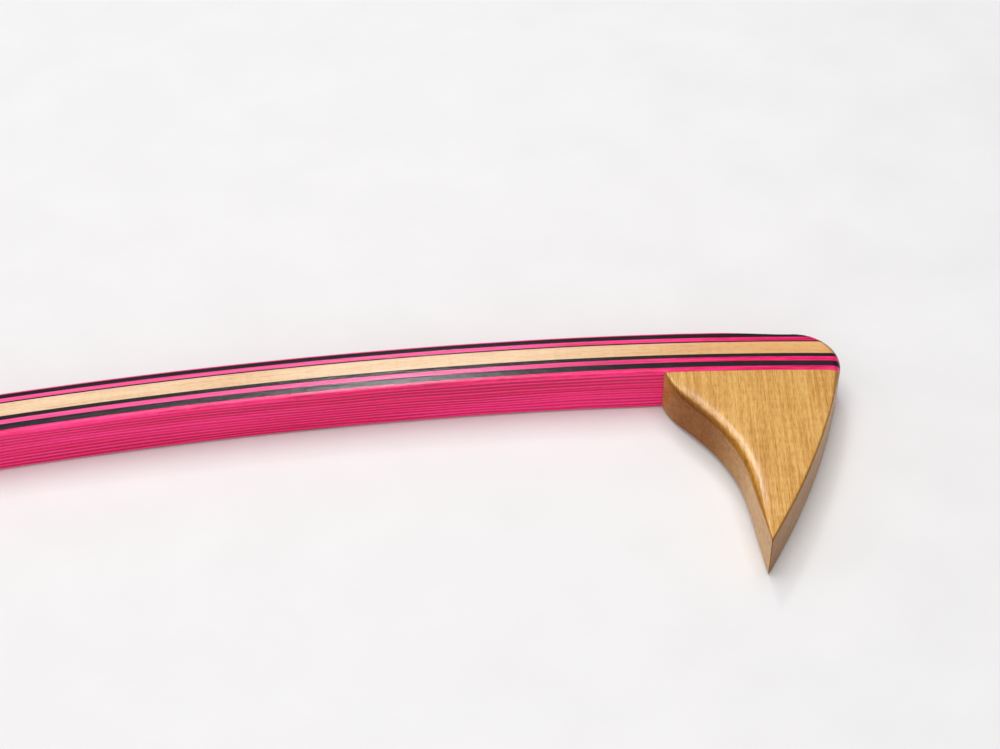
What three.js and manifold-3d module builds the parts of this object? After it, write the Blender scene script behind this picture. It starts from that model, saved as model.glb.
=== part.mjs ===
// Laminated beaked throwing boomerang ("number 7" shape), lying flat.
//
// Millimetres, +Z up. The bar runs along X with its convex edge towards +Y, and the
// beak at the +X end points towards -Y. The origin is the middle of the footprint,
// on the surface that the boomerang lies on.
//
// The bar is nine strips of wood, bent and glued face to face, so the glue lines show
// as stripes on both flats. The beak is one block of maple, glued to the concave side
// of the bar and pinned with two hidden dowels, because its end grain meets the bar.

import * as THREE from 'three';
import { mergeVertices } from 'three/addons/utils/BufferGeometryUtils.js';
import Module from 'manifold-3d';

const wasm = await Module();
wasm.setup();

// ---- driving dimensions -------------------------------------------------------------

const THICKNESS = 21; // flat to flat, along Z
const ARRIS = 1.2; // rounding of every edge of the two flats
const ARRIS_STEPS = 3;

const BAR_LENGTH = 700; // along the convex edge
const BEAK_SIDE_LENGTH = 150; // the more tightly bent stretch, next to the beak
const BEAK_SIDE_RADIUS = 1420; // of the convex edge
const GRIP_SIDE_RADIUS = 1740;
const STATIONS = 36; // steps along the bar

const HEEL_RADIUS = 19; // rounded outer corner at the beak end
const GRIP_END_RADIUS = 12; // rounded corners at the other end

const BEAK_BASE = 78.5; // from the heel to the throat, along the convex edge
const BEAK_BACK_LEAN = 12.4; // degrees: how far the beak's back leans in below the heel

// The beak's front, walked from the bar to the tip. A heading is in degrees below the
// direction of the bar, so 90 points straight away from it.
const THROAT_HEADING = 75;
const FRONT_HEADING = 51.4;
const TIP_HEADING = 81;
const THROAT_RADIUS = 40;
const FRONT_STRAIGHT = 14.2;
const FRONT_RADIUS = 78.5;
const TIP_STRAIGHT = 37.8;

const GLUE_LINE = 0.05; // gap left between glued faces

const DOWEL_RADIUS = 4;
const DOWEL_CHAMFER = 0.8;
const DOWEL_CLEARANCE = 0.3; // room for glue around and beyond each dowel
const DOWEL_IN_BAR = 16; // depth of each dowel in the bar
const DOWEL_IN_BEAK = 30; // and in the beak
const DOWEL_SIDES = 24;

// ---- materials ----------------------------------------------------------------------

const wood = (name, color, roughness) =>
  new THREE.MeshStandardMaterial({ name, color, roughness, metalness: 0 });

const pinkDyedWood = wood('pink_dyed_wood', '#e8287e', 0.35);
const blackDyedWood = wood('black_dyed_wood', '#2b272b', 0.35);
const paleMaple = wood('pale_maple', '#ecc894', 0.4);
const honeyMaple = wood('honey_maple', '#d6a566', 0.4);
const dowelBeech = wood('dowel_beech', '#c9a27a', 0.7);

// The strips from the convex edge to the concave one. The widths taper a little from
// the grip end to the beak end.
const strips = [
  { name: 'outer_pink_face', atGrip: 1.1, atBeak: 1.1, material: pinkDyedWood },
  { name: 'outer_black_lamination', atGrip: 2.35, atBeak: 2.7, material: blackDyedWood },
  { name: 'outer_pink_lamination', atGrip: 2.2, atBeak: 2.3, material: pinkDyedWood },
  { name: 'outer_black_veneer', atGrip: 0.8, atBeak: 0.8, material: blackDyedWood },
  { name: 'maple_core', atGrip: 8.15, atBeak: 7.5, material: paleMaple },
  { name: 'inner_black_veneer', atGrip: 2.6, atBeak: 2.1, material: blackDyedWood },
  { name: 'inner_pink_lamination', atGrip: 2.3, atBeak: 2.8, material: pinkDyedWood },
  { name: 'inner_black_lamination', atGrip: 3.6, atBeak: 3.2, material: blackDyedWood },
  { name: 'inner_pink_face', atGrip: 2.6, atBeak: 2.7, material: pinkDyedWood },
];
const CORE = strips.findIndex((strip) => strip.name === 'maple_core');

// ---- solids -------------------------------------------------------------------------

// A closed three.js geometry as a manifold-3d solid.
function solid(geometry) {
  const bare = geometry.clone();
  bare.deleteAttribute('normal');
  bare.deleteAttribute('uv');
  const merged = mergeVertices(bare, 1e-4);
  return new wasm.Manifold(
    new wasm.Mesh({
      numProp: 3,
      vertProperties: new Float32Array(merged.attributes.position.array),
      triVerts: new Uint32Array(merged.index.array),
    }),
  );
}

// A manifold-3d solid as a named three.js mesh.
function mesh(name, body, material) {
  const { vertProperties, triVerts } = body.getMesh();
  const geometry = new THREE.BufferGeometry();
  geometry.setAttribute('position', new THREE.BufferAttribute(vertProperties, 3));
  geometry.setIndex(new THREE.BufferAttribute(triVerts, 1));
  geometry.computeVertexNormals();
  const part = new THREE.Mesh(geometry, material);
  part.name = name;
  return part;
}

// A plan outline as a block that reaches past both flats.
function block(points) {
  const margin = 2;
  const shape = new THREE.Shape(points);
  const geometry = new THREE.ExtrudeGeometry(shape, {
    depth: THICKNESS + 2 * margin,
    bevelEnabled: false,
  });
  geometry.translate(0, 0, -margin);
  return solid(geometry);
}

// ---- plan of the bar ----------------------------------------------------------------

// A point of the bar by its distance from the heel along the convex edge and its depth
// below that edge. Here X is the tangent at the heel, and negative distances run on
// straight past the heel.
function barPoint(distance, depth) {
  const tight = Math.min(Math.max(distance, 0), BEAK_SIDE_LENGTH) / BEAK_SIDE_RADIUS;
  const loose = Math.max(distance - BEAK_SIDE_LENGTH, 0) / GRIP_SIDE_RADIUS;
  const centre = new THREE.Vector2(0, -BEAK_SIDE_RADIUS);
  const outward = new THREE.Vector2(-Math.sin(tight), Math.cos(tight));
  const point = outward.clone().multiplyScalar(BEAK_SIDE_RADIUS).add(centre);
  const turned = new THREE.Vector2(-Math.sin(tight + loose), Math.cos(tight + loose));
  point.addScaledVector(outward, -GRIP_SIDE_RADIUS).addScaledVector(turned, GRIP_SIDE_RADIUS);
  point.x += Math.max(-distance, 0);
  return point.addScaledVector(turned, -depth);
}

// Depth of the face before strip number index, counted from the convex edge.
function faceDepth(index, distance) {
  const towardsGrip = Math.min(Math.max(distance / BAR_LENGTH, 0), 1);
  return strips
    .slice(0, index)
    .reduce((sum, strip) => sum + THREE.MathUtils.lerp(strip.atBeak, strip.atGrip, towardsGrip), 0);
}

const barWidth = (distance) => faceDepth(strips.length, distance);

// Distances from one end of a stretch to the other, in equal steps of bar length.
function stretch(from, to) {
  const steps = Math.max(1, Math.round((STATIONS * Math.abs(to - from)) / BAR_LENGTH));
  return Array.from({ length: steps + 1 }, (_, i) => from + ((to - from) * i) / steps);
}

// ---- outline of the whole boomerang -------------------------------------------------

const radians = THREE.MathUtils.degToRad;

// Unit vector on a compass where 0 is +X and angles run anticlockwise.
const direction = (degrees) =>
  new THREE.Vector2(Math.cos(radians(degrees)), Math.sin(radians(degrees)));

// Points on an arc from one compass angle to another, both ends included.
function arc(centre, radius, from, to, steps) {
  return Array.from({ length: steps + 1 }, (_, i) =>
    direction(from + ((to - from) * i) / steps).multiplyScalar(radius).add(centre),
  );
}

// Points on the arc that leaves start with one heading and ends with another.
function turn(start, heading, nextHeading, radius, steps) {
  const side = Math.sign(nextHeading - heading);
  const centre = start.clone().addScaledVector(direction(heading + 90 * side), radius);
  return arc(centre, radius, heading - 90 * side, nextHeading - 90 * side, steps);
}

const last = (points) => points[points.length - 1];

// Front of the beak, from the bar to the tip.
const throat = barPoint(BEAK_BASE, barWidth(BEAK_BASE));
const throatArc = turn(throat, -THROAT_HEADING, -FRONT_HEADING, THROAT_RADIUS, 4);
const frontStart = last(throatArc).clone().addScaledVector(direction(-FRONT_HEADING), FRONT_STRAIGHT);
const frontArc = turn(frontStart, -FRONT_HEADING, -TIP_HEADING, FRONT_RADIUS, 7);
const tip = last(frontArc).clone().addScaledVector(direction(-TIP_HEADING), TIP_STRAIGHT);

// Heel corner, then the back of the beak as one arc that leaves the corner smoothly
// and meets the tip.
const heelCentre = new THREE.Vector2(-HEEL_RADIUS, -HEEL_RADIUS);
const heelArc = arc(heelCentre, HEEL_RADIUS, 90, -BEAK_BACK_LEAN, 9);
const backHeading = -90 - BEAK_BACK_LEAN;
const backChord = tip.clone().sub(last(heelArc));
const backTurn = 2 * (THREE.MathUtils.radToDeg(backChord.angle()) - 360 - backHeading);
const backRadius = backChord.length() / (2 * Math.sin(radians(Math.abs(backTurn) / 2)));
const backArc = turn(last(heelArc), backHeading, backHeading + backTurn, backRadius, 7);

// Grip end: two rounded corners, each placed in its own corner of the bar.
function gripCorner(depth, from, to) {
  const centre = barPoint(BAR_LENGTH - GRIP_END_RADIUS, depth);
  const lean = THREE.MathUtils.radToDeg(
    BEAK_SIDE_LENGTH / BEAK_SIDE_RADIUS +
      (BAR_LENGTH - GRIP_END_RADIUS - BEAK_SIDE_LENGTH) / GRIP_SIDE_RADIUS,
  );
  return arc(centre, GRIP_END_RADIUS, from + lean, to + lean, 6);
}

const outline = [
  ...stretch(BAR_LENGTH - GRIP_END_RADIUS, HEEL_RADIUS).map((s) => barPoint(s, 0)).slice(1, -1),
  ...heelArc,
  ...backArc.slice(1, -1),
  tip,
  ...frontArc.slice().reverse(),
  ...throatArc.slice().reverse(),
  ...stretch(BEAK_BASE, BAR_LENGTH - GRIP_END_RADIUS)
    .map((s) => barPoint(s, barWidth(s)))
    .slice(1, -1),
  ...gripCorner(barWidth(BAR_LENGTH) - GRIP_END_RADIUS, 270, 180),
  ...gripCorner(GRIP_END_RADIUS, 180, 90),
];

// The whole boomerang as one block with rounded edges: every piece is cut from it.
const envelopeGeometry = new THREE.ExtrudeGeometry(new THREE.Shape(outline), {
  depth: THICKNESS - 2 * ARRIS,
  bevelEnabled: true,
  bevelThickness: ARRIS,
  bevelSize: ARRIS,
  bevelOffset: -ARRIS,
  bevelSegments: ARRIS_STEPS,
});
envelopeGeometry.translate(0, 0, ARRIS);
const envelope = solid(envelopeGeometry);

// ---- dowels -------------------------------------------------------------------------

// A round pin along the bar's depth direction, centred on the glue line of the beak.
function pin(distance, radius, inBar, inBeak, chamfer) {
  const profile = [
    new THREE.Vector2(0, -inBeak),
    new THREE.Vector2(radius - chamfer, -inBeak),
    new THREE.Vector2(radius, -inBeak + chamfer),
    new THREE.Vector2(radius, inBar - chamfer),
    new THREE.Vector2(radius - chamfer, inBar),
    new THREE.Vector2(0, inBar),
  ];
  const geometry = new THREE.LatheGeometry(profile, DOWEL_SIDES);
  const foot = barPoint(distance, barWidth(distance));
  geometry.rotateZ(distance / BEAK_SIDE_RADIUS);
  geometry.translate(foot.x, foot.y, THICKNESS / 2);
  return geometry;
}

const dowels = [
  { name: 'beak_dowel_heel_side', distance: 22 },
  { name: 'beak_dowel_throat_side', distance: 50 },
];

const dowelHoles = dowels
  .map(({ distance }) =>
    solid(
      pin(
        distance,
        DOWEL_RADIUS + DOWEL_CLEARANCE,
        DOWEL_IN_BAR + DOWEL_CLEARANCE,
        DOWEL_IN_BEAK + DOWEL_CLEARANCE,
        DOWEL_CHAMFER,
      ),
    ),
  )
  .reduce((all, hole) => all.add(hole));

// ---- assembly -----------------------------------------------------------------------

const boomerang = new THREE.Group();
const PAST_END = 10; // how far a strip's block runs past both ends before it is trimmed
const PAST_EDGE = 3; // and past the two edges of the bar

strips.forEach((strip, index) => {
  const convexSide = stretch(-PAST_END, BAR_LENGTH + PAST_END).map((s) =>
    barPoint(s, index === 0 ? -PAST_EDGE : faceDepth(index, s) + GLUE_LINE / 2),
  );
  let concaveSide = stretch(-PAST_END, BAR_LENGTH + PAST_END).map((s) =>
    barPoint(s, faceDepth(index + 1, s) - GLUE_LINE / 2),
  );
  if (index === strips.length - 1) {
    concaveSide = [
      ...stretch(-PAST_END, BEAK_BASE).map((s) => barPoint(s, barWidth(s) - GLUE_LINE / 2)),
      ...stretch(BEAK_BASE, BAR_LENGTH + PAST_END).map((s) => barPoint(s, barWidth(s) + PAST_EDGE)),
    ];
  }
  let body = block([...convexSide, ...concaveSide.reverse()]).intersect(envelope);
  if (index >= CORE) {
    body = body.subtract(dowelHoles);
  }
  boomerang.add(mesh(strip.name, body, strip.material));
});

const beakBlock = block([
  ...stretch(-PAST_END, BEAK_BASE).map((s) => barPoint(s, barWidth(s) + GLUE_LINE / 2)),
  new THREE.Vector2(throat.x, tip.y - PAST_EDGE),
  new THREE.Vector2(PAST_END, tip.y - PAST_EDGE),
]);
boomerang.add(mesh('maple_beak', beakBlock.intersect(envelope).subtract(dowelHoles), honeyMaple));

for (const { name, distance } of dowels) {
  const body = solid(pin(distance, DOWEL_RADIUS, DOWEL_IN_BAR, DOWEL_IN_BEAK, DOWEL_CHAMFER));
  boomerang.add(mesh(name, body, dowelBeech));
}

// Turn the chord of the bar onto X, then put the middle of the footprint on the origin.
const gripEnd = barPoint(BAR_LENGTH, barWidth(BAR_LENGTH) / 2);
const beakEnd = barPoint(0, barWidth(0) / 2);
boomerang.rotation.z = -beakEnd.clone().sub(gripEnd).angle();
boomerang.updateMatrixWorld(true);
const footprint = new THREE.Box3().setFromObject(boomerang, true).getCenter(new THREE.Vector3());
boomerang.position.set(-footprint.x, -footprint.y, 0);

export default boomerang;
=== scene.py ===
"""Laminated beaked boomerang, lying flat on a pale floor.

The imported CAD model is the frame. The nine strips and the beak are rebuilt here as smooth
meshes with hand-rounded edges, in the same places, and the two hidden dowels as fluted pins.

The plan is worked out in millimetres at the heel, the outer corner at the beak end: X runs
along the bar past the heel, Y out of the convex edge. place() then turns it into the frame.
"""

import math

import bmesh
import bpy
import numpy as np
from mathutils import Matrix, Vector


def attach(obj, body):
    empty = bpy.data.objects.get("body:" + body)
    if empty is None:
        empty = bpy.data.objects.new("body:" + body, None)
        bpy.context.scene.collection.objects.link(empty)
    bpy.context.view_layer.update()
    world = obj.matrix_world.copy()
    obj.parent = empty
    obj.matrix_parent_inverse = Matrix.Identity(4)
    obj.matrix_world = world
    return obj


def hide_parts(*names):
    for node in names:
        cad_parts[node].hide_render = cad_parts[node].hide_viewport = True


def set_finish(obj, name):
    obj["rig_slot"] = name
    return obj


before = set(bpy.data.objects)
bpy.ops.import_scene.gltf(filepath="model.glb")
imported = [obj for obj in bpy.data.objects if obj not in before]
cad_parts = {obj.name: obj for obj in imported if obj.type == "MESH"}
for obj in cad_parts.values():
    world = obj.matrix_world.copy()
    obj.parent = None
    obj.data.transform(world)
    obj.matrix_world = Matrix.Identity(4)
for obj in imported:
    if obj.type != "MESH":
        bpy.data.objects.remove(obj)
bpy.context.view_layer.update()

MM = 0.001

# ---- sizes of the boomerang, in millimetres and degrees -------------------------------------

THICKNESS = 21.0
BAR_LENGTH = 700.0
BEAK_SIDE_LENGTH = 150.0
BEAK_SIDE_RADIUS = 1420.0
GRIP_SIDE_RADIUS = 1740.0
HEEL_RADIUS = 19.0
GRIP_END_RADIUS = 12.0
BEAK_BASE = 78.5
BEAK_BACK_LEAN = 12.4

THROAT_HEADING = 75.0
FRONT_HEADING = 51.4
TIP_HEADING = 81.0
THROAT_RADIUS = 40.0
FRONT_STRAIGHT = 14.2
FRONT_RADIUS = 78.5
TIP_STRAIGHT = 37.8
TIP_BLUNTING = 0.2  # radius of the worn tip, in plan
FRONT_ARC_STEPS = 40

GLUE_LINE = 0.02  # gap between glued pieces

# The strips from the convex edge to the concave one: node, width at the grip end, width at
# the beak end, material slot, lines across the strip.
STRIPS = [
    ("outer_pink_face", 1.1, 1.1, "pink_dyed_wood", 7),
    ("outer_black_lamination", 2.35, 2.7, "black_dyed_wood", 12),
    ("outer_pink_lamination", 2.2, 2.3, "pink_dyed_wood", 6),
    ("outer_black_veneer", 0.8, 0.8, "black_dyed_wood", 3),
    ("maple_core", 8.15, 7.5, "pale_maple", 12),
    ("inner_black_veneer", 2.6, 2.1, "black_dyed_wood", 4),
    ("inner_pink_lamination", 2.3, 2.8, "pink_dyed_wood", 5),
    ("inner_black_lamination", 3.6, 3.2, "black_dyed_wood", 8),
    ("inner_pink_face", 2.6, 2.7, "pink_dyed_wood", 14),
]

# The edges are rounded to these radii.
CONVEX_EDGE = 0.6
CONCAVE_EDGE = 1.4
GRIP_EDGE = 1.8
HEEL_EDGE = 3.2
BACK_EDGE = 1.3
FRONT_EDGE = 2.4
TIP_EDGE = 0.9

# Distances from the heel between which the bar's edge radius changes.
HEEL_BLEND = (55, 20)
GRIP_BLEND = (640, 690)


# ---- plan curves ------------------------------------------------------------------------------

def headings(distance):
    """How far the bar has turned at a distance from the heel, in radians."""
    tight = np.clip(distance, 0, BEAK_SIDE_LENGTH) / BEAK_SIDE_RADIUS
    loose = np.maximum(distance - BEAK_SIDE_LENGTH, 0) / GRIP_SIDE_RADIUS
    return tight, tight + loose


def bar_point(distance, depth):
    """Plan points of the bar by distance from the heel and depth below the convex edge."""
    distance, depth = np.broadcast_arrays(np.asarray(distance, float), np.asarray(depth, float))
    tight, turned = headings(distance)
    ease = BEAK_SIDE_RADIUS - GRIP_SIDE_RADIUS
    reach = GRIP_SIDE_RADIUS - depth
    x = -ease * np.sin(tight) - reach * np.sin(turned) + np.maximum(-distance, 0)
    y = -BEAK_SIDE_RADIUS + ease * np.cos(tight) + reach * np.cos(turned)
    return np.stack([x, y], axis=-1)


def face_depth(index, distance):
    """Depth of the face before strip number index."""
    share = np.clip(np.asarray(distance, float) / BAR_LENGTH, 0, 1)
    at_grip = sum(grip_width for _, grip_width, *_ in STRIPS[:index])
    at_beak = sum(beak_width for _, _, beak_width, *_ in STRIPS[:index])
    return at_beak + (at_grip - at_beak) * share


def bar_width(distance):
    return face_depth(len(STRIPS), distance)


def compass(degrees):
    angle = np.radians(degrees)
    return np.stack([np.cos(angle), np.sin(angle)], axis=-1)


def arc(centre, radius, start, end, steps):
    return centre + radius * compass(np.linspace(start, end, steps + 1))


def turn(start, heading, next_heading, radius, steps):
    """The arc that leaves start with one heading and ends with another."""
    side = np.sign(next_heading - heading)
    centre = start + radius * compass(heading + 90 * side)
    return arc(centre, radius, heading - 90 * side, next_heading - 90 * side, steps)


def straight(start, heading, length, steps):
    return start + np.linspace(0, length, steps + 1)[:, None] * compass(heading)


# Front of the beak, from the throat to the tip.
throat = bar_point(BEAK_BASE, bar_width(BEAK_BASE))
throat_arc = turn(throat, -THROAT_HEADING, -FRONT_HEADING, THROAT_RADIUS, steps=16)
front_line = straight(throat_arc[-1], -FRONT_HEADING, FRONT_STRAIGHT, steps=6)
front_arc = turn(front_line[-1], -FRONT_HEADING, -TIP_HEADING, FRONT_RADIUS, FRONT_ARC_STEPS)
tip_line = straight(front_arc[-1], -TIP_HEADING, TIP_STRAIGHT, steps=14)
sharp_tip = tip_line[-1]
front = np.vstack([throat_arc, front_line[1:], front_arc[1:], tip_line[1:]])

# Heel corner, then the back of the beak as one arc from the corner to the tip.
heel_centre = np.array([-HEEL_RADIUS, -HEEL_RADIUS])
heel = arc(heel_centre, HEEL_RADIUS, 90, -BEAK_BACK_LEAN, steps=70)
back_chord = sharp_tip - heel[-1]
back_heading = -90 - BEAK_BACK_LEAN
chord_heading = math.degrees(math.atan2(back_chord[1], back_chord[0]))
back_turn = 2 * (chord_heading - back_heading)
back_radius = np.hypot(*back_chord) / (2 * math.sin(math.radians(abs(back_turn) / 2)))
back = turn(heel[-1], back_heading, back_heading + back_turn, back_radius, steps=60)
tip_half_angle = abs(back_heading + back_turn + TIP_HEADING) / 2


def blunted(side, tip_side):
    """side cut back where the rounded tip starts."""
    reach = TIP_BLUNTING / math.tan(math.radians(tip_half_angle))
    keep = np.hypot(*(side - sharp_tip).T) > reach
    end = sharp_tip + tip_side * reach
    return np.vstack([side[keep], end])


front = blunted(front, -compass(-TIP_HEADING))
back = blunted(back, -compass(back_heading + back_turn))
tip_axis = compass((-TIP_HEADING + back_heading + back_turn) / 2)
tip_centre = sharp_tip - tip_axis * TIP_BLUNTING / math.sin(math.radians(tip_half_angle))


def grip_reach(depth):
    """How far the rounded grip end stands out past the start of its corners."""
    radius = GRIP_END_RADIUS
    inner = np.minimum(depth, bar_width(BAR_LENGTH) - depth)
    into = np.clip(radius - inner, 0, radius)
    return np.sqrt(radius**2 - into**2)


def heel_limit(y):
    """X of the outline at the beak end, at that Y: heel corner above, back of the beak below."""
    rise = np.clip(y + HEEL_RADIUS, -HEEL_RADIUS, HEEL_RADIUS)
    corner = -HEEL_RADIUS + np.sqrt(HEEL_RADIUS**2 - rise**2)
    below = np.interp(-y, -back[:, 1], back[:, 0])
    return np.where(y > back[0, 1], corner, below)


def strip_start(depth_at):
    """Distance from the heel at which a line along the bar leaves the outline.

    depth_at gives the line's depth by distance. The place is found by halving.
    """
    low, high = -1.0, 40.0
    for _ in range(50):
        middle = (low + high) / 2
        point = bar_point(middle, depth_at(middle))
        if point[0] > heel_limit(point[1]):
            low = middle
        else:
            high = middle
    return high


# ---- outline with the radius of its rounded edge ----------------------------------------------

def smooth(x, start, end):
    t = np.clip((x - start) / (end - start), 0, 1)
    return t * t * (3 - 2 * t)


def lengths(points):
    return np.concatenate([[0], np.cumsum(np.hypot(*np.diff(points, axis=0).T))])


GRIP_CORNER = BAR_LENGTH - GRIP_END_RADIUS
grip_s = np.linspace(GRIP_CORNER, BEAK_BASE, 160)
convex_s = np.linspace(GRIP_CORNER, HEEL_RADIUS, 170)
convex = bar_point(convex_s, 0)
convex_edge = CONVEX_EDGE + (HEEL_EDGE - CONVEX_EDGE) * smooth(convex_s, *HEEL_BLEND)
convex_edge += (GRIP_EDGE - CONVEX_EDGE) * smooth(convex_s, *GRIP_BLEND)
concave_s = grip_s[::-1]
concave = bar_point(concave_s, bar_width(concave_s))
concave_edge = CONCAVE_EDGE + (GRIP_EDGE - CONCAVE_EDGE) * smooth(concave_s, *GRIP_BLEND)

back_run = lengths(back)
back_edge = BACK_EDGE + (HEEL_EDGE - BACK_EDGE) * smooth(back_run, 24, 4)
back_edge += (TIP_EDGE - BACK_EDGE) * smooth(back_run, back_run[-1] - 16, back_run[-1])
front_run = lengths(front)
front_end = front_run[-1]
front_middle = smooth(front_run, 2, 24) * smooth(front_run, front_end - 4, front_end - 38)
front_edge = CONCAVE_EDGE + (TIP_EDGE - CONCAVE_EDGE) * smooth(front_run, 40, front_end)
front_edge += (FRONT_EDGE - front_edge) * front_middle

grip_turn = math.degrees(headings(np.array(GRIP_CORNER))[1])
concave_corner = bar_point(GRIP_CORNER, bar_width(BAR_LENGTH) - GRIP_END_RADIUS)
convex_corner = bar_point(GRIP_CORNER, GRIP_END_RADIUS)
grip = np.vstack([
    arc(concave_corner, GRIP_END_RADIUS, 270 + grip_turn, 180 + grip_turn, steps=24),
    arc(convex_corner, GRIP_END_RADIUS, 180 + grip_turn, 90 + grip_turn, steps=24),
])

sections = [
    (convex[:-1], convex_edge[:-1]),
    (heel[:-1], np.full(len(heel) - 1, HEEL_EDGE)),
    (back, back_edge),
    (front[::-1], front_edge[::-1]),
    (concave[1:-1], concave_edge[1:-1]),
    (grip, np.full(len(grip), GRIP_EDGE)),
]
OUTLINE = np.vstack([points for points, _ in sections])
EDGE_RADIUS = np.concatenate([radius for _, radius in sections])


# Near the outline both flats also fall away gently: path, drop at the outline, width of
# the fall.
SHOULDERS = [
    (np.vstack([convex, heel[1:]]), np.full(len(convex) + len(heel) - 1, 0.3), 3.6),
    (back, 0.15 + 0.15 * smooth(back_run, 40, 0), 5.0),
    (front, 0.2 + 1.0 * front_middle, 8.0),
    (concave, 0.05 + 0.35 * smooth(concave_s, 84, 130), 12.0),
    (grip, np.full(len(grip), 0.3), 6.0),
]


CHUNK = 2000  # plan points measured at a time


def nearest_on(points, path, values):
    """Distance from each plan point to a path, and the path's value where it is nearest."""
    start, end = path[:-1], path[1:]
    along = end - start
    square = np.maximum((along**2).sum(1), 1e-12)
    distance, value = [], []
    for chunk in np.array_split(points, max(1, len(points) // CHUNK)):
        gap = chunk[:, None, :] - start[None]
        share = np.clip((gap * along[None]).sum(2) / square, 0, 1)
        off = gap - share[..., None] * along[None]
        away = np.hypot(off[..., 0], off[..., 1])
        nearest = away.argmin(1)
        row = np.arange(len(chunk))
        distance.append(away[row, nearest])
        share = share[row, nearest]
        value.append(values[nearest] * (1 - share) + values[nearest + 1] * share)
    return np.concatenate(distance), np.concatenate(value)


def surface_height(points, on_outline):
    """Height of the upper flat over plan points, with the shoulders and the rounded edge."""
    closed = np.vstack([OUTLINE, OUTLINE[:1]])
    distance, radius = nearest_on(points, closed, np.append(EDGE_RADIUS, EDGE_RADIUS[0]))
    distance = np.where(on_outline, 0.0, distance)
    into = np.clip(radius - distance, 0, None)
    height = THICKNESS - radius + np.sqrt(np.maximum(radius**2 - into**2, 0))
    for path, drops, width in SHOULDERS:
        distance, drop = nearest_on(points, path, drops)
        height -= drop * np.clip(1 - distance / width, 0, 1) ** 2
    return height


# ---- from the plan to the frame ---------------------------------------------------------------

beak_end = bar_point(0, bar_width(0) / 2)
grip_end = bar_point(BAR_LENGTH, bar_width(BAR_LENGTH) / 2)
PLAN_TURN = -math.atan2(*(beak_end - grip_end)[::-1])
ROTATION = np.array([
    [math.cos(PLAN_TURN), -math.sin(PLAN_TURN)],
    [math.sin(PLAN_TURN), math.cos(PLAN_TURN)],
])
turned_outline = OUTLINE @ ROTATION.T
PLAN_SHIFT = -(turned_outline.min(0) + turned_outline.max(0)) / 2


def place(points):
    """Plan points with a height, in millimetres, as points of the frame in metres."""
    flat = points[:, :2] @ ROTATION.T + PLAN_SHIFT
    return np.column_stack([flat, points[:, 2]]) * MM


def to_plan(points):
    """Points of the frame, back in millimetres on the plan, with their height."""
    flat = (points[:, :2] / MM - PLAN_SHIFT) @ ROTATION
    return np.column_stack([flat, points[:, 2] / MM])


def along_bar(points):
    """Distance from the heel and depth below the convex edge of plan points."""
    turned_at_change = BEAK_SIDE_LENGTH / BEAK_SIDE_RADIUS
    ease = BEAK_SIDE_RADIUS - GRIP_SIDE_RADIUS
    centre = -ease * np.array([math.sin(turned_at_change), -math.cos(turned_at_change)])
    centre[1] -= BEAK_SIDE_RADIUS
    near = points[:, :2] + [0, BEAK_SIDE_RADIUS]
    far = points[:, :2] - centre
    turned_near = np.arctan2(-near[:, 0], near[:, 1])
    turned_far = np.arctan2(-far[:, 0], far[:, 1])
    beyond = turned_near > turned_at_change
    distance = np.where(
        beyond,
        BEAK_SIDE_LENGTH + (turned_far - turned_at_change) * GRIP_SIDE_RADIUS,
        turned_near * BEAK_SIDE_RADIUS,
    )
    depth = np.where(
        beyond,
        GRIP_SIDE_RADIUS - np.hypot(far[:, 0], far[:, 1]),
        BEAK_SIDE_RADIUS - np.hypot(near[:, 0], near[:, 1]),
    )
    return distance, depth


# ---- meshes -----------------------------------------------------------------------------------

WALL_STEPS = 6


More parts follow.
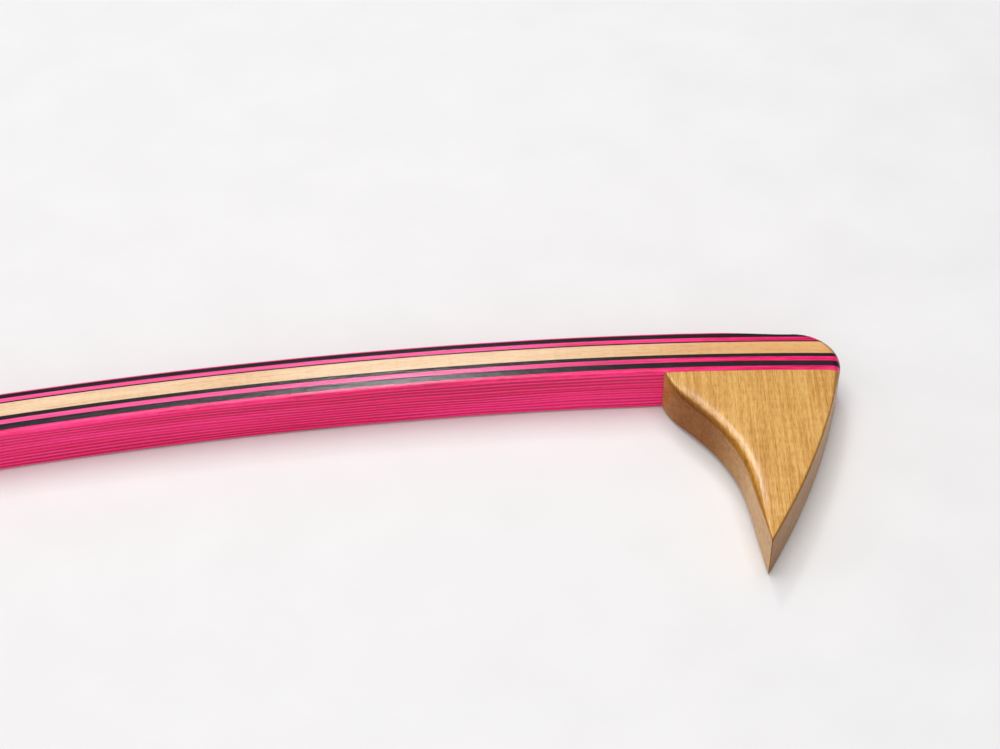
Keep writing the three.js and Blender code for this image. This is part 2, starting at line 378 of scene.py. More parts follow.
def slab(name, plan, outline_sides, material_slot):
    """A closed solid over a grid of plan points, with both flats shaped and walls between.

    plan is (rows, lines, 2), and outline_sides says which of its points lie on the outline.
    """
    rows, lines = plan.shape[:2]
    flat_plan = plan.reshape(-1, 2)
    top = surface_height(flat_plan, outline_sides.reshape(-1))
    index = np.arange(rows * lines).reshape(rows, lines)

    loop = np.concatenate([
        index[0, :-1],
        index[:-1, -1],
        index[-1, :0:-1],
        index[:0:-1, 0],
    ])
    count = len(flat_plan)
    wall_plan = np.tile(flat_plan[loop], (WALL_STEPS - 1, 1))
    share = np.repeat(np.arange(1, WALL_STEPS) / WALL_STEPS, len(loop))
    edge_top = np.tile(top[loop], WALL_STEPS - 1)
    wall_height = edge_top + (THICKNESS - 2 * edge_top) * share

    vertices = np.vstack([
        np.column_stack([flat_plan, top]),
        np.column_stack([flat_plan, THICKNESS - top]),
        np.column_stack([wall_plan, wall_height]),
    ])

    quads = np.stack([index[:-1, :-1], index[:-1, 1:], index[1:, 1:], index[1:, :-1]], -1)
    quads = quads.reshape(-1, 4)
    rings = [loop]
    for step in range(WALL_STEPS - 1):
        rings.append(2 * count + step * len(loop) + np.arange(len(loop)))
    rings.append(loop + count)
    walls = [
        np.stack([upper, np.roll(upper, -1), np.roll(lower, -1), lower], -1)
        for upper, lower in zip(rings, rings[1:])
    ]
    corners = plan[[0, 0, -1, -1], [0, -1, -1, 0]]
    after = np.roll(corners, -1, 0)
    clockwise = (corners[:, 0] * after[:, 1] - corners[:, 1] * after[:, 0]).sum() < 0
    if clockwise:
        faces = np.vstack([quads[:, ::-1], quads + count] + walls)
    else:
        faces = np.vstack([quads, quads[:, ::-1] + count] + [wall[:, ::-1] for wall in walls])

    mesh = bpy.data.meshes.new(name)
    mesh.from_pydata(place(vertices).tolist(), [], faces.tolist())
    mesh.shade_smooth()

    # Glued faces meet the flats, and each other, in sharp edges.
    glued = ~outline_sides.reshape(-1)
    sharp = set()
    for rim in (rings[0], rings[-1]):
        for a, b, first, second in zip(rim, np.roll(rim, -1), loop, np.roll(loop, -1)):
            if glued[first] or glued[second]:
                sharp.add((min(a, b), max(a, b)))
    corner_columns = {0, lines - 1, lines - 1 + rows - 1, 2 * (lines - 1) + rows - 1}
    for column in corner_columns:
        if glued[loop[column - 1]] or glued[loop[(column + 1) % len(loop)]]:
            for upper, lower in zip(rings, rings[1:]):
                a, b = upper[column], lower[column]
                sharp.add((min(a, b), max(a, b)))
    edge_flags = mesh.attributes.new("sharp_edge", "BOOLEAN", "EDGE")
    for edge in mesh.edges:
        a, b = edge.vertices
        edge_flags.data[edge.index].value = (min(a, b), max(a, b)) in sharp

    piece = bpy.data.objects.new(name, mesh)
    bpy.context.scene.collection.objects.link(piece)
    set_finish(piece, material_slot)
    return piece


# Steps from an edge into a piece, close together where the edge is rounded.
END_STEPS = np.array([
    0, 0.06, 0.16, 0.3, 0.5, 0.75, 1.05, 1.4, 1.8, 2.3, 2.9, 3.6, 4.5, 5.8, 7.5, 10, 13, 17,
])
SIDE_STEPS = np.array([
    0, 0.05, 0.13, 0.25, 0.4, 0.6, 0.85, 1.15, 1.5, 1.9, 2.4, 3.0, 3.8, 5.0, 6.6, 8.5,
])
ROW_SPACING = 5.0
CONVEX_CROWDING = 1.6  # powers that crowd the lines of the two face strips at the outline
CONCAVE_CROWDING = 1.7


def run(start, end):
    """Shares, from 0 to 1, of the way from start to end, close together at both ends."""
    length = end - start
    steps = max(2, round((length - 2 * END_STEPS[-1]) / ROW_SPACING))
    middle = np.linspace(END_STEPS[-1], length - END_STEPS[-1], steps + 1)
    return np.concatenate([END_STEPS[:-1], middle, length - END_STEPS[-2::-1]]) / length


def strip(index):
    """One strip of the bar, trimmed by the heel, the back of the beak and the grip end."""
    name, _, _, material_slot, line_count = STRIPS[index]
    first, last = index == 0, index == len(STRIPS) - 1
    shares = np.linspace(0, 1, line_count)
    if first:
        shares = shares**CONVEX_CROWDING
    if last:
        shares = 1 - np.linspace(1, 0, line_count) ** CONCAVE_CROWDING
    to_throat = run(strip_start(lambda s: bar_width(s) / 2), BEAK_BASE)
    to_grip = run(BEAK_BASE, BAR_LENGTH)
    columns = []
    for share in shares:
        def depth_at(distance, share=share):
            upper = face_depth(index, distance) + (0 if first else GLUE_LINE / 2)
            lower = face_depth(index + 1, distance) - (0 if last else GLUE_LINE / 2)
            return upper + (lower - upper) * share

        start = strip_start(depth_at)
        end = GRIP_CORNER + grip_reach(depth_at(BAR_LENGTH))
        distance = np.concatenate([
            start + (BEAK_BASE - start) * to_throat,
            BEAK_BASE + (end - BEAK_BASE) * to_grip[1:],
        ])
        columns.append(bar_point(distance, depth_at(distance)))
    plan = np.stack(columns, axis=1)
    rows = plan.shape[0]
    on_outline = np.zeros(plan.shape[:2], bool)
    on_outline[[0, -1], :] = True
    if first:
        on_outline[:, 0] = True
    if last:
        on_outline[len(to_throat) - 1:, -1] = True
        free = np.arange(rows) < len(to_throat) - 1
        plan[free, -1] += GLUE_LINE / 2 * np.array([0, 1])
    return slab(name, plan, on_outline, material_slot)


# Rows of the beak: steps from its glued base in millimetres, then shares of its length, close
# together by the tip.
BASE_STEPS = np.array([0, 0.4, 1, 1.8, 2.8, 4, 5.4, 7])
BEAK_LENGTH = 105.0
BODY_SHARES = np.linspace(0.08, 0.84, 56)
TIP_SHARES = 1 - np.linspace(0.158, 0, 34)
INNER_LINES = 22
LEAST_MIDDLE = 3.0  # width left between the close lines of the two sides
SAG_REACH = 0.3  # share of the length over which the rows lose the base's curve


def beak():
    """The beak, as rows from its glued base to the tip and lines from its front to its back."""
    start = strip_start(bar_width)
    base_s = np.linspace(BEAK_BASE, start, 80)
    base = bar_point(base_s, bar_width(base_s) + GLUE_LINE / 2)
    front_side = np.vstack([base[:1], front[1:]])
    heel_side = back[back[:, 1] < base[-1, 1]]
    back_side = np.vstack([base[-1:], heel_side])
    shares = np.unique(np.concatenate([BASE_STEPS / BEAK_LENGTH, BODY_SHARES, TIP_SHARES]))

    def walk(side):
        places = lengths(side)
        wanted = shares * places[-1]
        return np.column_stack([np.interp(wanted, places, side[:, k]) for k in (0, 1)])

    left, right = walk(front_side), walk(back_side)
    rows = []
    for row, (a, b) in enumerate(zip(left, right)):
        width = np.hypot(*(b - a))
        scale = min(1.0, width / (2 * SIDE_STEPS[-1] + LEAST_MIDDLE))
        near = SIDE_STEPS * scale / width
        middle = np.linspace(near[-1], 1 - near[-1], INNER_LINES)[1:-1]
        share = np.concatenate([near, middle, 1 - near[::-1]])
        line = a + (b - a) * share[:, None]
        fade = max(0.0, 1 - shares[row] / SAG_REACH)
        base_line = np.column_stack([
            np.interp(share, np.linspace(0, 1, len(base)), base[:, k]) for k in (0, 1)
        ])
        sag = base_line - (base[0] + (base[-1] - base[0]) * share[:, None])
        rows.append(line + sag * fade**2)
    plan = np.stack(rows, axis=0)
    start_angle = math.atan2(*(plan[-1, 0] - tip_centre)[::-1])
    end_angle = math.atan2(*(plan[-1, -1] - tip_centre)[::-1])
    if end_angle < start_angle:
        end_angle += 2 * math.pi
    angles = start_angle + (end_angle - start_angle) * np.linspace(0, 1, plan.shape[1])
    plan[-1] = tip_centre + TIP_BLUNTING * np.column_stack([np.cos(angles), np.sin(angles)])
    on_outline = np.zeros(plan.shape[:2], bool)
    on_outline[:, [0, -1]] = True
    on_outline[-1, :] = True
    return slab("maple_beak", plan, on_outline, "honey_maple")


# ---- dowels -----------------------------------------------------------------------------------

DOWEL_RADIUS = 4.0
DOWEL_CHAMFER = 0.8
DOWEL_CLEARANCE = 0.3
DOWEL_IN_BAR = 16.0
DOWEL_IN_BEAK = 30.0
DOWEL_FLUTES = 18
FLUTE_DEPTH = 0.25
DOWELS = {"beak_dowel_heel_side": 22.0, "beak_dowel_throat_side": 50.0}


def pin(name, distance, growth, flute):
    """A chamfered round pin across the beak's glue line, fluted unless flute is 0."""
    radius = DOWEL_RADIUS + growth
    profile = [
        (-DOWEL_IN_BEAK - growth, radius - DOWEL_CHAMFER),
        (-DOWEL_IN_BEAK - growth + DOWEL_CHAMFER, radius),
        (DOWEL_IN_BAR + growth - DOWEL_CHAMFER, radius),
        (DOWEL_IN_BAR + growth, radius - DOWEL_CHAMFER),
    ]
    sides = DOWEL_FLUTES * 4
    foot = bar_point(distance, bar_width(distance))
    lean = headings(np.array(distance))[1]
    body = bmesh.new()
    rings = []
    for reach, size in profile:
        ring = []
        for k in range(sides):
            angle = 2 * math.pi * k / sides
            local = size - flute * (1 - math.cos(DOWEL_FLUTES * angle)) / 2
            across, up = local * math.cos(angle), local * math.sin(angle)
            x = foot[0] + across * math.cos(lean) - reach * math.sin(lean)
            y = foot[1] + across * math.sin(lean) + reach * math.cos(lean)
            point = place(np.array([[x, y, THICKNESS / 2 + up]]))[0]
            ring.append(body.verts.new(point))
        rings.append(ring)
    for lower, upper in zip(rings, rings[1:]):
        for k in range(sides):
            after = (k + 1) % sides
            body.faces.new([lower[k], lower[after], upper[after], upper[k]])
    body.faces.new(rings[0][::-1])
    body.faces.new(rings[-1])
    bmesh.ops.recalc_face_normals(body, faces=body.faces)
    mesh = bpy.data.meshes.new(name)
    body.to_mesh(mesh)
    body.free()
    piece = bpy.data.objects.new(name, mesh)
    bpy.context.scene.collection.objects.link(piece)
    return piece


def drill(piece, holes):
    """Cuts the dowel holes out of a finished piece."""
    for hole in holes:
        cut = piece.modifiers.new("dowel_hole", "BOOLEAN")
        cut.operation = "DIFFERENCE"
        cut.solver = "EXACT"
        cut.object = hole
    depsgraph = bpy.context.evaluated_depsgraph_get()
    evaluated = piece.evaluated_get(depsgraph)
    mesh = bpy.data.meshes.new_from_object(
        evaluated, preserve_all_data_layers=True, depsgraph=depsgraph
    )
    piece.modifiers.clear()
    piece.data = mesh


def mark_grain(piece, runs_with_bar):
    """Stores the attributes that the materials read.

    grain is where a point lies along, across and up the piece's grain, in metres. end_grain is
    how squarely the surface there cuts the fibres, from 0 to 1.
    """
    mesh = piece.data
    points = np.zeros(len(mesh.vertices) * 3, np.float32)
    mesh.vertices.foreach_get("co", points)
    points = to_plan(points.reshape(-1, 3).astype(float))
    if runs_with_bar:
        along, across = along_bar(points)
        fibre = compass(180 + np.degrees(headings(along)[1] + PLAN_TURN))
    else:
        along, across = -points[:, 1], points[:, 0]
        fibre = compass(-90 + math.degrees(PLAN_TURN))
    grain = np.column_stack([along, across, points[:, 2]]) * MM
    attribute = mesh.attributes.new("grain", "FLOAT_VECTOR", "POINT")
    attribute.data.foreach_set("vector", grain.astype(np.float32).ravel())
    normals = np.zeros(len(mesh.vertices) * 3, np.float32)
    mesh.vertices.foreach_get("normal", normals)
    square_cut = np.abs((normals.reshape(-1, 3)[:, :2] * fibre).sum(1))
    attribute = mesh.attributes.new("end_grain", "FLOAT", "POINT")
    attribute.data.foreach_set("value", square_cut.astype(np.float32))


# ---- materials --------------------------------------------------------------------------------

COAT = 0.5  # weight of the lacquer
COAT_ROUGHNESS = 0.19
LINE_PITCH = 1.7  # between the ruled growth lines on the sides of the dyed strips
LINE_WANDER = 20.0  # how far the lines stray over the whole bar, in radians
LINE_CURL = 9.0  # and in the short stretches where they curl
END_GRAIN_TINT = (0.40, 0.26, 0.11)
FLECK_TINT = (0.66, 0.50, 0.28)
# Colour of the golden shade painted on the beak's rounded edges.
EDGE_SHADE_TINT = (0.62, 0.48, 0.07)
NICK_COLOUR = (0.27, 0.13, 0.03)


class Recipe:
    """A node tree built one named step at a time."""

    def __init__(self, name):
        self.material = bpy.data.materials.new(name)
        self.material.use_nodes = True
        self.tree = self.material.node_tree
        self.tree.nodes.clear()
        self.grain = self.node("ShaderNodeAttribute", attribute_name="grain").outputs["Vector"]

    def node(self, kind, inputs=None, **settings):
        node = self.tree.nodes.new(kind)
        for key, value in settings.items():
            setattr(node, key, value)
        for key, value in (inputs or {}).items():
            if isinstance(value, bpy.types.NodeSocket):
                self.tree.links.new(value, node.inputs[key])
            else:
                node.inputs[key].default_value = value
        return node

    def scaled(self, along, across, up, shift=(0, 0, 0)):
        """The fibre coordinates in units of the given lengths, in millimetres."""
        scale = [1 / (size * MM) for size in (along, across, up)]
        inputs = {"Vector": self.grain, "Scale": scale, "Location": shift}
        return self.node("ShaderNodeMapping", inputs).outputs[0]

    def coordinate(self, axis):
        """The fibre coordinate X, Y or Z, in metres."""
        return self.node("ShaderNodeSeparateXYZ", {"Vector": self.grain}).outputs[axis]

    def noise(self, sizes, detail=3.0, roughness=0.5, distortion=0.0, shift=(0, 0, 0)):
        inputs = {
            "Vector": self.scaled(*sizes, shift),
            "Scale": 1.0,
            "Detail": detail,
            "Roughness": roughness,
            "Distortion": distortion,
        }
        return self.node("ShaderNodeTexNoise", inputs).outputs["Fac"]

    def span(self, value, low, high, out_low=0.0, out_high=1.0):
        inputs = {
            "Value": value,
            "From Min": low,
            "From Max": high,
            "To Min": out_low,
            "To Max": out_high,
        }
        return self.node("ShaderNodeMapRange", inputs, clamp=True).outputs["Result"]

    def maths(self, operation, *values):
        return self.node("ShaderNodeMath", dict(enumerate(values)), operation=operation).outputs[0]

    def mix(self, share, a, b, blend="MIX"):
        node = self.node("ShaderNodeMix", data_type="RGBA", blend_type=blend)
        for socket, value in ((node.inputs[0], share), (node.inputs[6], a), (node.inputs[7], b)):
            if isinstance(value, bpy.types.NodeSocket):
                self.tree.links.new(value, socket)
            elif socket.type == "RGBA":
                socket.default_value = (*value, 1)
            else:
                socket.default_value = value
        return node.outputs[2]

    def tint(self, share, colour, by):
        """The colour multiplied by another, as far as share says."""
        return self.mix(share, colour, self.mix(1.0, colour, by, blend="MULTIPLY"))

    def ramp(self, value, stops):
        node = self.node("ShaderNodeValToRGB", {"Fac": value})
        elements = node.color_ramp.elements
        while len(elements) < len(stops):
            elements.new(0.5)
        for element, (position, colour) in zip(elements, stops):
            element.position = position
            element.color = (*colour, 1)
        return node.outputs["Color"]

    def blend(self, *shares_and_values):
        """Weighted sum of weight, value, weight, value and so on."""
        total = 0.0
        for weight, value in zip(shares_and_values[::2], shares_and_values[1::2]):
            total = self.maths("MULTIPLY_ADD", value, weight, total)
        return total

    def facing(self):
        """How far the surface faces up, from -1 to 1."""
        normal = self.node("ShaderNodeNewGeometry").outputs["Normal"]
        return self.node("ShaderNodeSeparateXYZ", {"Vector": normal}).outputs["Z"]

    def bump(self, height, strength, distance, under=None):
        inputs = {"Height": height, "Strength": strength, "Distance": distance * MM}
        if under is not None:
            inputs["Normal"] = under
        return self.node("ShaderNodeBump", inputs).outputs["Normal"]

    def finish(self, colour, roughness, normal, coat=0.0, coat_normal=None, specular=0.2):
        inputs = {
            "Base Color": colour,
            "Roughness": roughness,
            "Normal": normal,
            "Coat Weight": coat,
            "Coat Roughness": COAT_ROUGHNESS,
            "Specular IOR Level": specular,
        }
        if coat_normal is not None:
            inputs["Coat Normal"] = coat_normal
        shader = self.node("ShaderNodeBsdfPrincipled", inputs)
        output = self.node("ShaderNodeOutputMaterial")
        self.tree.links.new(shader.outputs[0], output.inputs["Surface"])
        return self.material


def dyed_wood(name, deep, body, light, lines, paler_flats=None):
    """Dyed and lacquered veneer: fibres, pores and, on the broad faces, ruled growth lines."""
    r = Recipe(name)
    fibres = r.span(r.noise((45, 1.1, 1.1), detail=5, roughness=0.65, distortion=0.1), 0.34, 0.66)
    flecks = r.span(r.noise((8, 0.7, 0.7), detail=3, roughness=0.6, shift=(3, 7, 1)), 0.36, 0.64)
    broad = r.span(r.noise((150, 9, 9), detail=2, shift=(11, 2, 5)), 0.35, 0.65)
    wander = r.noise((150, 40, 16), detail=2, shift=(5, 5, 5))
    phase = r.maths("MULTIPLY", r.coordinate("Z"), 2 * math.pi / (LINE_PITCH * MM))
    phase = r.maths("ADD", phase, r.maths("MULTIPLY", wander, LINE_WANDER))
    curl = r.maths("MULTIPLY", r.noise((20, 40, 12), detail=1, shift=(2, 7, 5)), LINE_CURL)
    curled = r.span(r.noise((110, 60, 40), detail=1, shift=(6, 1, 3)), 0.48, 0.62)
    phase = r.maths("ADD", phase, r.maths("MULTIPLY", curl, curled))
    ruled = r.span(r.maths("SINE", phase), -0.8, 0.5)
    veins = r.span(r.noise((300, 4, 0.7), detail=3, roughness=0.6, shift=(9, 1, 4)), 0.40, 0.60)
    ruled = r.blend(0.6, ruled, 0.4, veins)
    upright = r.maths("ABSOLUTE", r.facing())
    side = r.span(upright, 0.8, 0.3)
    on_flat = r.blend(0.5, fibres, 0.3, flecks, 0.2, broad)
    on_side = r.blend(lines, ruled, 0.8 - lines, fibres, 0.2, broad)
    change = r.maths("SUBTRACT", on_side, on_flat)
    tone = r.maths("ADD", on_flat, r.maths("MULTIPLY", side, change))
    colour = r.ramp(tone, [(0.2, deep), (0.5, body), (0.8, light)])
    pores = r.span(r.noise((3.0, 0.45, 0.45), detail=2, shift=(1, 3, 2)), 0.56, 0.68)
    colour = r.mix(r.maths("MULTIPLY", pores, 0.3), colour, deep)
    if paler_flats:  # paler on the flats away from the heel, except on the strip at the concave side
        paler_share = r.span(r.coordinate("X"), 0.05, 0.15)
        paler_share = r.maths("MULTIPLY", paler_share, r.span(upright, 0.7, 0.98))
        paler_share = r.maths("MULTIPLY", paler_share, r.span(r.coordinate("Y"), 0.023, 0.0215))
        paler_share = r.maths("MULTIPLY", paler_share, r.span(fibres, 0.0, 1.0, 0.5, 1.0))
        colour = r.mix(paler_share, colour, paler_flats)
    roughness = r.span(fibres, 0.0, 1.0, 0.36, 0.5)
    roughness = r.maths("ADD", roughness, r.maths("MULTIPLY", pores, 0.16))
    normal = r.bump(fibres, 1.0, 0.03)
    normal = r.bump(r.maths("MULTIPLY", ruled, side), 1.0, 0.06 * lines, normal)
    normal = r.bump(r.maths("SUBTRACT", 1.0, pores), 0.3, 0.05, normal)
    ripple = r.noise((22, 1.5, 1.5), detail=2, roughness=0.6, shift=(7, 4, 2))
    grit = r.noise((3.0, 1.8, 1.8), detail=1, roughness=0.5, shift=(1, 8, 6))
    lacquer = r.bump(r.blend(0.5, ripple, 0.5, grit), 1.0, 0.12)
    return r.finish(colour, roughness, normal, coat=COAT, coat_normal=lacquer, specular=0.1)


def maple(
    name, deep, body, light, flecked, streak, warm_to=None, painted_edge_shade=0.0, nick=None
):
    """Lacquered maple: streaks along the grain, fine dark flecks and faint cross figure.

    warm_to tints it towards the heel, painted_edge_shade weights a golden shade painted on the
    rounded edges, and nick is a dark spot's place in the fibre coordinates, in millimetres.
    """
    r = Recipe(name)
    streaks = r.span(r.noise((60, 1.6, 1.6), detail=5, roughness=0.65, distortion=0.2), 0.36, 0.64)
    fibres = r.span(r.noise((5, 0.55, 0.55), detail=4, roughness=0.6, shift=(2, 9, 4)), 0.35, 0.65)
    figure = r.span(r.noise((2.2, 16, 16), detail=3, roughness=0.6, shift=(8, 3, 6)), 0.35, 0.65)
    broad = r.span(r.noise((90, 14, 14), detail=2, shift=(1, 6, 3)), 0.35, 0.65)
    lines = r.noise((30, 0.48, 0.48), detail=2, roughness=0.5, distortion=0.1, shift=(6, 2, 8))
    lines = r.span(lines, 0.54, 0.64)
    tone = r.blend(streak, streaks, 0.3, fibres, 0.12, figure, -0.42 * streak, lines)
    tone = r.maths("ADD", tone, r.maths("MULTIPLY", broad, 0.72 - streak))
    colour = r.ramp(tone, [(0.2, deep), (0.5, body), (0.8, light)])
    if warm_to:
        colour = r.tint(r.span(r.coordinate("X"), 0.14, 0.03), colour, warm_to)
    end_grain = r.node("ShaderNodeAttribute", attribute_name="end_grain").outputs["Fac"]
    colour = r.tint(r.span(end_grain, 0.05, 0.6), colour, END_GRAIN_TINT)
    flecks = r.span(r.noise((4.2, 0.5, 0.5), detail=3, roughness=0.55, shift=(4, 1, 9)), 0.50, 0.68)
    colour = r.tint(r.maths("MULTIPLY", flecks, flecked), colour, FLECK_TINT)
    upright = r.maths("ABSOLUTE", r.facing())
    # Painted shade: a golden tint where the rounded edges tilt between the flat and the wall.
    edge_shade_share = r.maths("MULTIPLY", r.span(upright, 0.1, 0.4), r.span(upright, 0.95, 0.75))
    colour = r.tint(r.maths("MULTIPLY", edge_shade_share, painted_edge_shade), colour, EDGE_SHADE_TINT)
    roughness = r.span(fibres, 0.0, 1.0, 0.38, 0.5)
    normal = r.bump(fibres, 0.15, 0.05)
    normal = r.bump(r.maths("SUBTRACT", 1.0, flecks), 0.15, 0.04, normal)
    normal = r.bump(figure, 0.1, 0.15, normal)
    if nick:
        inputs = {0: r.grain, 1: [size * MM for size in nick]}
        away = r.node("ShaderNodeVectorMath", inputs, operation="DISTANCE").outputs["Value"]
        intact = r.span(away, 0.5 * MM, 1.1 * MM)
        colour = r.mix(intact, NICK_COLOUR, colour)
        normal = r.bump(intact, 1.0, 0.4, normal)
    ripple = r.noise((14, 1.0, 1.0), detail=2, roughness=0.5, shift=(7, 4, 2))
    lacquer = r.bump(ripple, 1.0, 0.025)
    coat = r.span(end_grain, 0.1, 0.8, COAT, 0.3 * COAT)
    return r.finish(colour, roughness, normal, coat=coat, coat_normal=lacquer, specular=0.1)


def bare_beech(name):
    """Plain turned beech without lacquer, for the hidden dowels."""
    r = Recipe(name)
    fibres = r.noise((12, 0.5, 0.5), detail=4, roughness=0.6)
    flecks = r.span(r.noise((2.4, 0.3, 0.3), detail=1, shift=(5, 5, 1)), 0.58, 0.7)
    colour = r.ramp(fibres, [(0.3, (0.42, 0.24, 0.12)), (0.7, (0.66, 0.45, 0.27))])
    colour = r.mix(r.maths("MULTIPLY", flecks, 0.5), colour, (0.3, 0.16, 0.08))
    normal = r.bump(fibres, 0.2, 0.05)
    return r.finish(colour, r.span(fibres, 0.3, 0.7, 0.6, 0.75), normal)


# The small nick in the beak's front edge: its point of the front, how far along X it is set in
# from there, and how far it lies below the upper flat.
NICK_AT = 53
NICK_INSET = 0.7
NICK_DEPTH = 1.7
nick_x, nick_y = front[NICK_AT] + [NICK_INSET, 0.0]

MATERIALS = {
    "pink_dyed_wood": dyed_wood(
        "pink_dyed_wood",
        deep=(0.46, 0.001, 0.05),
        body=(0.93, 0.008, 0.155),
        light=(1.0, 0.035, 0.26),
        lines=0.72,
        paler_flats=(0.96, 0.11, 0.34),
    ),
    "black_dyed_wood": dyed_wood(
        "black_dyed_wood",
        deep=(0.003, 0.001, 0.002),
        body=(0.007, 0.003, 0.006),
        light=(0.022, 0.012, 0.018),
        lines=0.2,
    ),
    "pale_maple": maple(
        "pale_maple",
        deep=(0.76, 0.45, 0.25),
        body=(0.84, 0.57, 0.35),
        light=(0.89, 0.65, 0.43),
        flecked=0.3,
        streak=0.35,
        warm_to=(0.88, 0.69, 0.42),
    ),
    "honey_maple": maple(
        "honey_maple",
        deep=(0.53, 0.24, 0.050),
        body=(0.66, 0.35, 0.090),
        light=(0.77, 0.45, 0.14),
        flecked=0.68,
        streak=0.46,
        # Weight of the golden shade painted on the beak's rounded edges.
        painted_edge_shade=0.9,
        nick=(-nick_y, nick_x, THICKNESS - NICK_DEPTH),
    ),
    "dowel_beech": bare_beech("dowel_beech"),
}


# ---- the boomerang ----------------------------------------------------------------------------

bar_names = [name for name, *_ in STRIPS]
pieces = {name: strip(index) for index, name in enumerate(bar_names)}
pieces["maple_beak"] = beak()
holes = [pin("hole", distance, DOWEL_CLEARANCE, 0) for distance in DOWELS.values()]
for name in bar_names[bar_names.index("maple_core"):] + ["maple_beak"]:
    drill(pieces[name], holes)
for hole in holes:
    bpy.data.objects.remove(hole)
for name, distance in DOWELS.items():
    pieces[name] = pin(name, distance, 0, FLUTE_DEPTH)
    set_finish(pieces[name], "dowel_beech")
for name, piece in pieces.items():
    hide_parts(name)
    piece.name = name + "_wood"
    piece.data.materials.clear()
    piece.data.materials.append(MATERIALS[piece["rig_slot"]])
    mark_grain(piece, name in bar_names)
    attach(piece, "root")


# ---- floor, light and camera ------------------------------------------------------------------

def floor():
    """A wide pale floor with a faint soft mottle."""
    half = 6.0
    mesh = bpy.data.meshes.new("floor")
    corners = [(-half, -half, 0), (half, -half, 0), (half, half, 0), (-half, half, 0)]
    mesh.from_pydata(corners, [], [(0, 1, 2, 3)])
    attribute = mesh.attributes.new("grain", "FLOAT_VECTOR", "POINT")
    attribute.data.foreach_set("vector", np.array(corners, np.float32).ravel())
    r = Recipe("floor_card")
    mottle = r.noise((40, 40, 40), detail=4)
    colour = r.ramp(mottle, [(0.3, (0.80, 0.79, 0.79)), (0.7, (0.83, 0.82, 0.82))])
    normal = r.bump(r.noise((1.5, 1.5, 1.5), detail=3), 0.05, 0.2)
    mesh.materials.append(r.finish(colour, r.span(mottle, 0.3, 0.7, 0.55, 0.6), normal))
    piece = bpy.data.objects.new("floor", mesh)
    bpy.context.scene.collection.objects.link(piece)


def area_light(name, direction, elevation, distance, size, power, aim):
    """A rectangular white light, placed by direction and elevation, in degrees, about its aim."""
    light = bpy.data.lights.new(name, "AREA")
    light.shape = "RECTANGLE"
    light.size, light.size_y = size
    light.energy = power
    lamp = bpy.data.objects.new(name, light)
    flat = compass(direction) * math.cos(math.radians(elevation))
    lamp.location = aim + distance * Vector((*flat, math.sin(math.radians(elevation))))
    lamp.rotation_euler = (aim - lamp.location).to_track_quat("-Z", "Y").to_euler()
    bpy.context.scene.collection.objects.link(lamp)


SHEEN_AT = 192.0  # distance from the heel where the bar's lacquer mirrors its narrow light
SHEEN_RAISED = 7.0
ARRIS_TILT = 12.0
MIRROR_DISTANCE = 1.6


def mirror_light(name, point, tilt, tilted_to, raised, size, power):
    """A narrow light that the lacquer mirrors into the camera.

    It is mirrored at a plan point of the upper flat whose surface is tilted by some degrees
    to a plan direction. raised lifts the light above the mirrored direction.
    """
    spot = Vector(place(np.array([[*point, THICKNESS]]))[0])
    side = compass(tilted_to + math.degrees(PLAN_TURN)) * math.sin(math.radians(tilt))
    normal = Vector((*side, math.cos(math.radians(tilt))))
    ray = (spot - bpy.context.scene.camera.matrix_world.translation).normalized()
    mirrored = ray.reflect(normal)
    direction = math.degrees(math.atan2(mirrored.y, mirrored.x))
    elevation = math.degrees(math.asin(mirrored.z)) + raised
    area_light(name, direction, elevation, MIRROR_DISTANCE, size, power, spot)


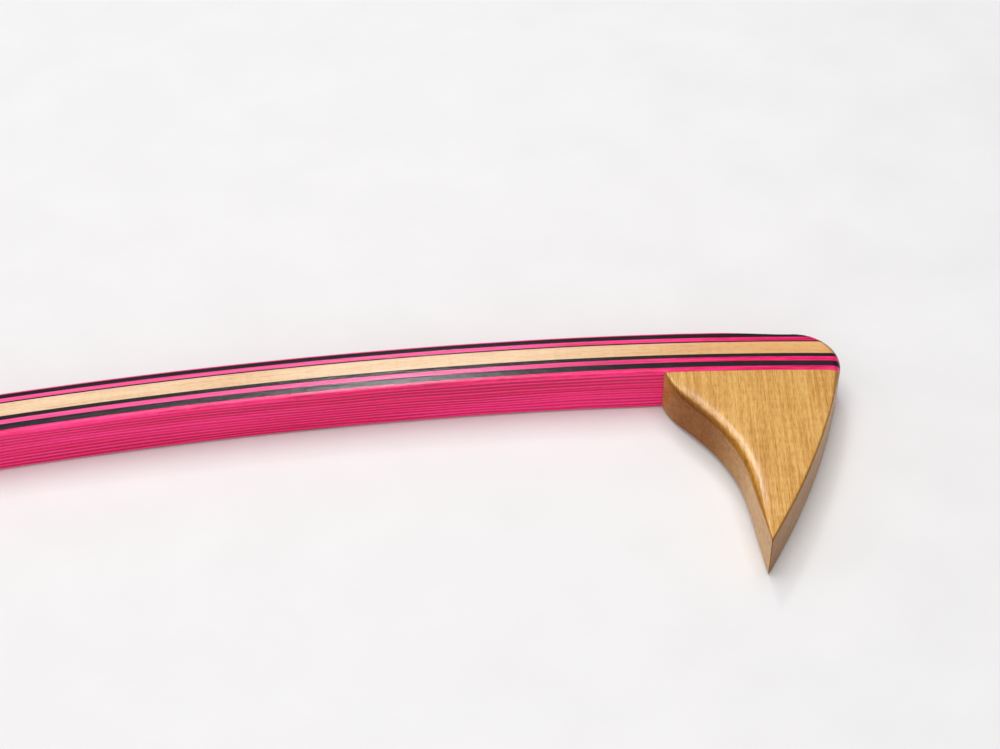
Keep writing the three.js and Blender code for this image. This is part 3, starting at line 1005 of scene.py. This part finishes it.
# The camera looks at a plan point near the beak end, at the height of the upper flat, from a
# little under half way up. The angles are in degrees and the distance is in metres.
VIEW_X = -147.8
VIEW_Y = -29.7
VIEW_HEADING = -90.2
VIEW_ELEVATION = 42.22
VIEW_DISTANCE = 0.9976
VIEW_ROLL = 0.487
FOCAL_LENGTH = 83.5
SENSOR_WIDTH = 36.0
aim = Vector(place(np.array([[VIEW_X, VIEW_Y, THICKNESS]]))[0])
view_direction = VIEW_HEADING + math.degrees(PLAN_TURN)


def camera():
    data = bpy.data.cameras.new("camera")
    data.lens = FOCAL_LENGTH
    data.sensor_width = SENSOR_WIDTH
    data.clip_start = 0.05
    shooter = bpy.data.objects.new("camera", data)
    flat = compass(view_direction) * math.cos(math.radians(VIEW_ELEVATION))
    outward = Vector((*flat, math.sin(math.radians(VIEW_ELEVATION))))
    turn_to = (-outward).to_track_quat("-Z", "Y").to_matrix()
    roll = Matrix.Rotation(math.radians(VIEW_ROLL), 3, "Z")
    position = Matrix.Translation(aim + outward * VIEW_DISTANCE)
    shooter.matrix_world = position @ (turn_to @ roll).to_4x4()
    bpy.context.scene.collection.objects.link(shooter)
    bpy.context.scene.camera = shooter


def sky(strength):
    """Even white light from all round."""
    world = bpy.data.worlds.new("studio")
    world.use_nodes = True
    background = world.node_tree.nodes["Background"]
    background.inputs["Color"].default_value = (1.0, 1.0, 1.0, 1)
    background.inputs["Strength"].default_value = strength
    bpy.context.scene.world = world


floor()
camera()
away = view_direction + 180
area_light(
    "overhead",
    direction=away + 20,
    elevation=80,
    distance=2.2,
    size=(2.0, 2.0),
    power=37.5,
    aim=aim,
)
area_light(
    "front",
    direction=view_direction - 8,
    elevation=30,
    distance=2.0,
    size=(2.0, 1.6),
    power=16,
    aim=aim,
)
area_light(
    "left",
    direction=view_direction - 85,
    elevation=30,
    distance=2.0,
    size=(1.2, 1.2),
    power=4,
    aim=aim,
)
sheen_point = bar_point(SHEEN_AT, bar_width(SHEEN_AT) / 2)
mirror_light(
    "bar_sheen", sheen_point, tilt=0, tilted_to=0, raised=SHEEN_RAISED, size=(0.17, 0.14), power=1.9
)
arris_point = front_arc[FRONT_ARC_STEPS // 2]
arris_side = -(FRONT_HEADING + TIP_HEADING) / 2 - 90
mirror_light(
    "arris_sheen", arris_point, ARRIS_TILT, arris_side, raised=0, size=(0.4, 0.2), power=1.7
)
sky(0.2)
bpy.context.scene.view_settings.view_transform = "Standard"
